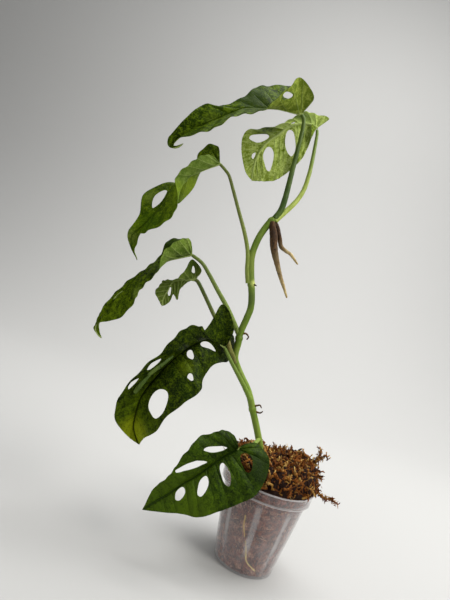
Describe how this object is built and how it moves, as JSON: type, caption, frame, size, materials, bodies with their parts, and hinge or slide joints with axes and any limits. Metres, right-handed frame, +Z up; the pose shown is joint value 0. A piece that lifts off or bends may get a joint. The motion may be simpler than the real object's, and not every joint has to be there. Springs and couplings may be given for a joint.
{
  "type": "potted mottled monstera laniata",
  "caption": "A climbing aroid with mottled, holed leaves on long arching stalks, its stem rising at a slant out of brown moss in a clear nursery pot.",
  "frame": {"origin": "middle of the pot's flat bottom", "axes": "+Z up, the pot's axis; the plant leans towards -X; the leaves face -Y"},
  "size_m": [0.2562, 0.1066, 0.4405],
  "materials": {
    "pot_plastic": "gloss",
    "moss": "matte",
    "root_pale": "satin",
    "stem": "satin",
    "stalk": "satin",
    "leaf": "satin",
    "root": "matte"
  },
  "bodies": {
    "root": {"pot": "pot_plastic", "moss": "moss", "wall_root": "root_pale", "vine_stem": "stem", "leaf_stalk_1": "stalk", "leaf_stalk_2": "stalk", "leaf_stalk_3": "stalk", "leaf_stalk_4": "stalk", "leaf_stalk_5": "stalk", "leaf_stalk_6": "stalk", "leaf_stalk_7": "stalk", "leaf_1": "leaf", "leaf_2": "leaf", "leaf_3": "leaf", "leaf_4": "leaf", "leaf_5": "leaf", "leaf_6": "leaf", "leaf_7": "leaf", "aerial_root_1": "root", "aerial_root_2": "root"}
  },
  "joints": []
}
